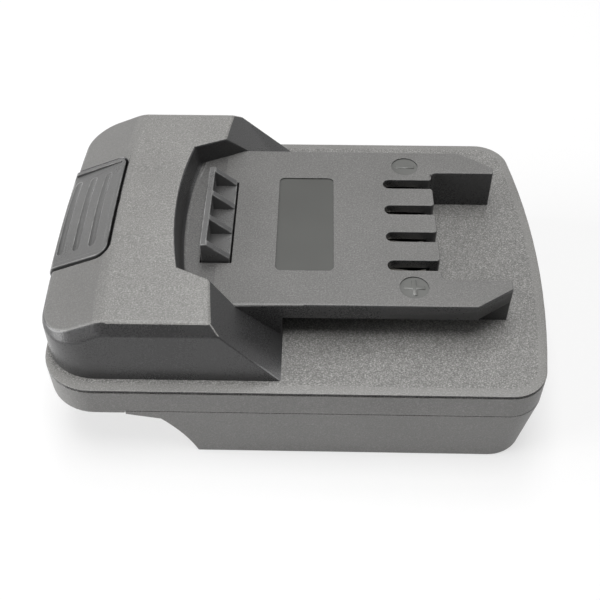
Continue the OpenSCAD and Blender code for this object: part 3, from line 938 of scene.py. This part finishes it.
@dataclass
class ScrewSet:
    """Pan head screws with a cross recess, one on each solid of a CAD node."""

    node: str
    shank: float
    head: float
    side: HeadSide = HeadSide.DOWN
    facets: int = 40
    rounding: float = 0.22
    arc_steps: int = 4
    tip: float = 0.5
    recess_mouth: tuple[float, float] = (1.15, 0.3)
    recess_floor: tuple[float, float] = (0.7, 0.2)
    recess_depth: float = 0.62
    recess_over: float = 0.1
    spin: float = 0.6
    seed: int = 4
    sharp_fold: float = math.radians(35)

    def profile(self, radius: float, length: float) -> list[tuple[float, float]]:
        """Lists the half section from the head's middle to the tip.

        Args:
            radius: Radius of the head.
            length: Whole length.

        Returns:
            Pairs of radius and height above the head's face.
        """
        round_off = self.rounding * self.head
        arc = [(radius - round_off + round_off * math.sin(t), round_off - round_off * math.cos(t))
               for t in (math.pi / 2 * i / self.arc_steps for i in range(self.arc_steps + 1))]
        point = self.tip * self.shank
        return [(0, 0), *arc, (radius, self.head), (self.shank, self.head),
                (self.shank, length - point), (self.shank - point, length), (0, length)]

    def single(self, radius: float, length: float) -> bpy.types.Object:
        """Turns one screw and cuts its recess.

        Args:
            radius: Radius of the head.
            length: Whole length.

        Returns:
            A helper object that the tree repeats.
        """
        form = bmesh.new()
        points = [form.verts.new((r, 0, z)) for r, z in self.profile(radius, length)]
        edges = [form.edges.new(pair) for pair in zip(points, points[1:])]
        bmesh.ops.spin(form, geom=points + edges, cent=(0, 0, 0), axis=(0, 0, 1), angle=math.tau,
                       steps=self.facets)
        bmesh.ops.remove_doubles(form, verts=form.verts, dist=MERGE)
        bmesh.ops.recalc_face_normals(form, faces=form.faces)
        screw = new_object(self.node + "_one", plain_mesh(self.node, form))
        cutter = new_object(self.node + "_cross", self.cross(radius))
        cut = screw.modifiers.new("recess", "BOOLEAN")
        cut.object = cutter
        cut.solver = "EXACT"
        cut.use_self = True
        applied(screw)
        bpy.data.objects.remove(cutter)
        return screw

    def cross(self, radius: float) -> bpy.types.Mesh:
        """Makes the tapered cross that the recess is cut with.

        Args:
            radius: Radius of the head.

        Returns:
            A mesh of two crossed wedges.
        """
        form = bmesh.new()
        for turn in (0, math.pi / 2):
            wedge = bmesh.ops.create_cube(form, size=1)["verts"]
            for point in wedge:
                deep = point.co.z > 0
                length, width = self.recess_floor if deep else self.recess_mouth
                point.co.x *= radius * length
                point.co.y *= radius * width
                point.co.z = self.head * (self.recess_depth if deep else -self.recess_over)
            bmesh.ops.rotate(form, verts=wedge, cent=(0, 0, 0), matrix=Matrix.Rotation(turn, 3, "Z"))
        return plain_mesh(self.node + "_cross", form)

    def build(self) -> bpy.types.Object:
        """Puts a screw on each solid of the node.

        Returns:
            The finished object.
        """
        boxes = islands(self.node)
        low, high = boxes[0]
        single = self.single((high.x - low.x) / 2, high.z - low.z)
        tree, graph, given = geometry_tree(self.node, [("Screw", "NodeSocketObject"),
                                                       ("Turn", "NodeSocketVector")])
        source = graph.add("GeometryNodeObjectInfo", {"Object": given.outputs["Screw"]})
        spin = graph.add("FunctionNodeRandomValue", {2: -self.spin, 3: self.spin, "Seed": self.seed})
        own = graph.add("ShaderNodeCombineXYZ", {"Z": spin.outputs[1]})
        turn = graph.add("ShaderNodeVectorMath", {0: given.outputs["Turn"], 1: own.outputs[0]},
                         operation="ADD")
        screws = graph.add("GeometryNodeInstanceOnPoints", {
            "Points": given.outputs["Geometry"], "Instance": source.outputs["Geometry"],
            "Rotation": turn.outputs[0]})
        closed_by(graph, screws.outputs[0], Finish.SCREW)
        up = self.side is HeadSide.UP
        places = [Vector(((a.x + b.x) / 2, (a.y + b.y) / 2, b.z if up else a.z)) for a, b in boxes]
        made = grown(self.node.replace("screws", "pan_screws"), places, tree, {
            "Screw": single, "Turn": (math.pi if up else 0, 0, 0)})
        bpy.data.objects.remove(single)
        made.data.set_sharp_from_angle(angle=self.sharp_fold)
        return seated(made, Body.HOUSING, "screw_steel", self.node)


@dataclass
class Lead:
    """Insulated lead between two tails, with a twist of bare strands at each end."""

    node: str
    slot: str
    finish: Finish
    strands: int = 6
    bare: float = 2 * MM
    tucked: float = 0.3 * MM
    strand_ratio: float = 6
    lay: float = 0.35
    steps: int = 24
    sides: int = 20
    sharp_fold: float = math.radians(50)

    def tree(self, name: str, finish: Finish, strands: int, lay: float) -> bpy.types.NodeTree:
        """Builds a tree that lays tubes along X, side by side round the lead's axis.

        Args:
            name: Name of the tree.
            finish: Finish of the tubes.
            strands: How many tubes lie round the axis.
            lay: Turns that the tubes make along their length.

        Returns:
            A tree that starts each bundle at a point.
        """
        tree, graph, given = geometry_tree(name, [
            ("Length", "NodeSocketFloat"), ("Tube", "NodeSocketFloat"), ("Round", "NodeSocketFloat")])
        share = graph.add("GeometryNodeSplineParameter").outputs["Factor"]
        angle = graph.math("MULTIPLY", share, lay * math.tau)
        spot = graph.add("ShaderNodeCombineXYZ", {
            "X": graph.math("MULTIPLY", share, given.outputs["Length"]),
            "Y": graph.math("MULTIPLY", given.outputs["Round"], graph.math("COSINE", angle)),
            "Z": graph.math("MULTIPLY", given.outputs["Round"], graph.math("SINE", angle))})
        tube = swept(graph, self.steps, spot, given.outputs["Tube"], self.sides)
        repeat = graph.add("GeometryNodeMeshLine", {"Count": strands, "Offset": (0, 0, 0)})
        index = graph.add("GeometryNodeInputIndex").outputs[0]
        step = graph.add("ShaderNodeCombineXYZ", {"X": graph.math("MULTIPLY", index, math.tau / strands)})
        bundle = graph.add("GeometryNodeInstanceOnPoints", {
            "Points": repeat.outputs[0], "Instance": tube, "Rotation": step.outputs[0]})
        laid = graph.add("GeometryNodeInstanceOnPoints", {
            "Points": given.outputs["Geometry"], "Instance": bundle.outputs[0]})
        closed_by(graph, laid.outputs[0], finish)
        return tree

    def build(self) -> list[bpy.types.Object]:
        """Makes the sleeve and its bare ends.

        Returns:
            The sleeve and the strands.
        """
        low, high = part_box(self.node)
        radius = (high.y - low.y) / 2
        axis_y, axis_z = (low.y + high.y) / 2, (low.z + high.z) / 2
        sleeve = grown("sleeve_" + self.node, [Vector((low.x + self.bare, axis_y, axis_z))],
                       self.tree("sleeve", self.finish, 1, 0),
                       {"Length": high.x - low.x - 2 * self.bare, "Tube": radius, "Round": 0.0})
        sleeve.data.set_sharp_from_angle(angle=self.sharp_fold)
        seated(sleeve, Body.HOUSING, self.slot, self.node)
        thin = radius / self.strand_ratio
        length = self.bare + self.tucked
        starts = [Vector((x, axis_y, axis_z)) for x in (low.x, high.x - length)]
        strands = grown("strands_" + self.node, starts,
                        self.tree("strand", Finish.COPPER, self.strands, self.lay),
                        {"Length": length, "Tube": thin, "Round": 2 * thin})
        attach(strands, Body.HOUSING.value)
        return [sleeve, strands]


@dataclass(frozen=True)
class Softbox:
    """Square soft light aimed at the part, placed by elevation and by azimuth from +Y towards +X."""

    name: str
    elevation: float
    azimuth: float
    size: float
    power: float
    distance: float = 0.9

    def hang(self) -> None:
        """Adds the light to the scene."""
        data = bpy.data.lights.new(self.name, "AREA")
        data.shape = "SQUARE"
        data.size = self.size
        data.energy = self.power
        lamp = bpy.data.objects.new(self.name, data)
        up, turn = math.radians(self.elevation), math.radians(self.azimuth)
        way = Vector((math.sin(turn) * math.cos(up), math.cos(turn) * math.cos(up), math.sin(up)))
        place = way * self.distance
        lamp.matrix_world = Matrix.Translation(place) @ place.to_track_quat("Z", "Y").to_matrix().to_4x4()
        bpy.context.scene.collection.objects.link(lamp)


@dataclass
class Studio:
    """White floor, softboxes, even fill and the camera."""

    floor_half: float = 3.0
    floor_white: float = 0.9
    seen_white: float = 0.4
    seen_glow: float = 0.6
    fill: float = 0.15
    card: float = 0.1
    card_span: tuple[float, float] = (-0.7, 0.2)
    horizon: float = 0.6
    sky_span: tuple[float, float] = (0.25, 0.85)
    boxes: Sequence[Softbox] = (
        Softbox("overhead", 86, 180, 0.5, 4.7),
        Softbox("rear", 66, 5, 0.3, 1.5),
        Softbox("left", 14, 262, 0.6, 9.0),
    )
    camera_place: tuple[float, float, float] = (3.81 * MM, -151.95 * MM, 175.51 * MM)
    focal_pixels: float = 925.3
    frame_pixels: float = 600
    sensor: float = 36
    near_clip: float = 0.01
    elevation: float = 47.97
    yaw: float = -1.577
    roll: float = -0.42

    def seen(self, graph: Graph) -> Socket:
        """Returns 1 on rays that show the backdrop and 0 on those that light the part."""
        path = graph.add("ShaderNodeLightPath").outputs
        seen = graph.math("MAXIMUM", path["Is Camera Ray"], path["Is Glossy Ray"])
        return graph.math("MAXIMUM", seen, path["Is Transmission Ray"])

    def floor(self) -> None:
        """Lays a white floor that keeps the part's shadow and is open from below."""
        material, graph = new_material("white_floor")
        seen = self.seen(graph)
        matt = graph.add("ShaderNodeBsdfDiffuse", {"Color": opaque(WHITE, self.floor_white)})
        soft = graph.add("ShaderNodeBsdfDiffuse", {"Color": opaque(WHITE, self.seen_white)})
        glow = graph.add("ShaderNodeEmission", {"Color": opaque(WHITE), "Strength": self.seen_glow})
        pale = graph.add("ShaderNodeAddShader", {0: soft.outputs[0], 1: glow.outputs[0]})
        shown = graph.add("ShaderNodeMixShader", {0: seen, 1: matt.outputs[0], 2: pale.outputs[0]})
        back = graph.add("ShaderNodeNewGeometry").outputs["Backfacing"]
        clear = graph.add("ShaderNodeBsdfTransparent")
        one_way = graph.add("ShaderNodeMixShader", {0: back, 1: shown.outputs[0], 2: clear.outputs[0]})
        graph.add("ShaderNodeOutputMaterial", {"Surface": one_way.outputs[0]})
        mesh = bpy.data.meshes.new("floor")
        h = self.floor_half
        mesh.from_pydata([(-h, -h, 0), (h, -h, 0), (h, h, 0), (-h, h, 0)], [], [(0, 1, 2, 3)])
        mesh.materials.append(material)
        new_object("floor", mesh)

    def world(self) -> None:
        """Fills the shadows, shows white where the backdrop is seen and keeps a dark card for gloss."""
        world = bpy.data.worlds.new("studio")
        world.use_nodes = True
        world.node_tree.nodes.clear()
        graph = Graph(world.node_tree)
        fill = graph.add("ShaderNodeBackground", {"Color": opaque(WHITE), "Strength": self.fill})
        path = graph.add("ShaderNodeLightPath").outputs
        way = graph.add("ShaderNodeSeparateXYZ", {0: graph.add("ShaderNodeTexCoord").outputs["Generated"]})
        card = graph.ramp(way.outputs["Y"], self.card_span, self.card)
        sky = graph.ramp(way.outputs["Z"], self.sky_span, self.horizon)
        gloss = graph.math("MULTIPLY", card, sky)
        bright = graph.math("MAXIMUM", gloss, graph.math("SUBTRACT", 1, path["Is Glossy Ray"]))
        white = graph.add("ShaderNodeBackground", {"Color": opaque(WHITE), "Strength": bright})
        shown = graph.add("ShaderNodeMixShader", {
            0: self.seen(graph), 1: fill.outputs[0], 2: white.outputs[0]})
        graph.add("ShaderNodeOutputWorld", {"Surface": shown.outputs[0]})
        bpy.context.scene.world = world

    def camera(self) -> None:
        """Sets the camera that was fitted to the photograph's edges."""
        yaw, lift, roll = map(math.radians, (self.yaw, self.elevation, self.roll))
        ahead = Vector((math.sin(yaw) * math.cos(lift), math.cos(yaw) * math.cos(lift), -math.sin(lift)))
        level = Vector((math.cos(yaw), -math.sin(yaw), 0))
        above = level.cross(ahead)
        right = level * math.cos(roll) + above * math.sin(roll)
        up = above * math.cos(roll) - level * math.sin(roll)
        data = bpy.data.cameras.new("camera")
        data.sensor_width = self.sensor
        data.lens = self.sensor * self.focal_pixels / self.frame_pixels
        data.clip_start = self.near_clip
        camera = bpy.data.objects.new("camera", data)
        turn = Matrix((right, up, -ahead)).transposed().to_4x4()
        camera.matrix_world = Matrix.Translation(Vector(self.camera_place)) @ turn
        bpy.context.scene.collection.objects.link(camera)
        bpy.context.scene.camera = camera

    def build(self) -> None:
        """Sets up the whole studio."""
        self.floor()
        self.world()
        for box in self.boxes:
            box.hang()
        self.camera()
        bpy.context.scene.view_settings.view_transform = "Standard"


def main() -> None:
    """Builds every piece of the adapter and the studio."""
    logging.basicConfig(level=logging.INFO, format="%(name)s: %(message)s")
    for moulding in (TopCover(), MiddleFrame(), BatterySocket(), ReleaseLatch(),
                     InnerBlock("contact_carrier"), InnerBlock("blade_block")):
        moulding.build()
    DiscSigns().build()
    poles = ("plus", "signal", "sense", "minus")
    for pole in poles:
        ContactStrip("terminal_" + pole, "terminal_metal", Finish.TIN).build()
        ContactStrip("blade_" + pole, "blade_metal", Finish.NICKEL).build()
    for pole, finish in zip(poles, (Finish.RED, Finish.YELLOW, Finish.WHITE, Finish.BLACK)):
        Lead("lead_" + pole, "insulation_" + pole, finish).build()
    LatchSprings().build()
    for screws in (ScrewSet("socket_screws", 1.45 * MM, 2 * MM),
                   ScrewSet("frame_screws", 1.45 * MM, 2 * MM),
                   ScrewSet("carrier_screws", 1 * MM, 1.4 * MM, HeadSide.UP),
                   ScrewSet("block_screws", 1 * MM, 1.4 * MM)):
        screws.build()
    Studio().build()


if __name__ == "__main__":
    main()
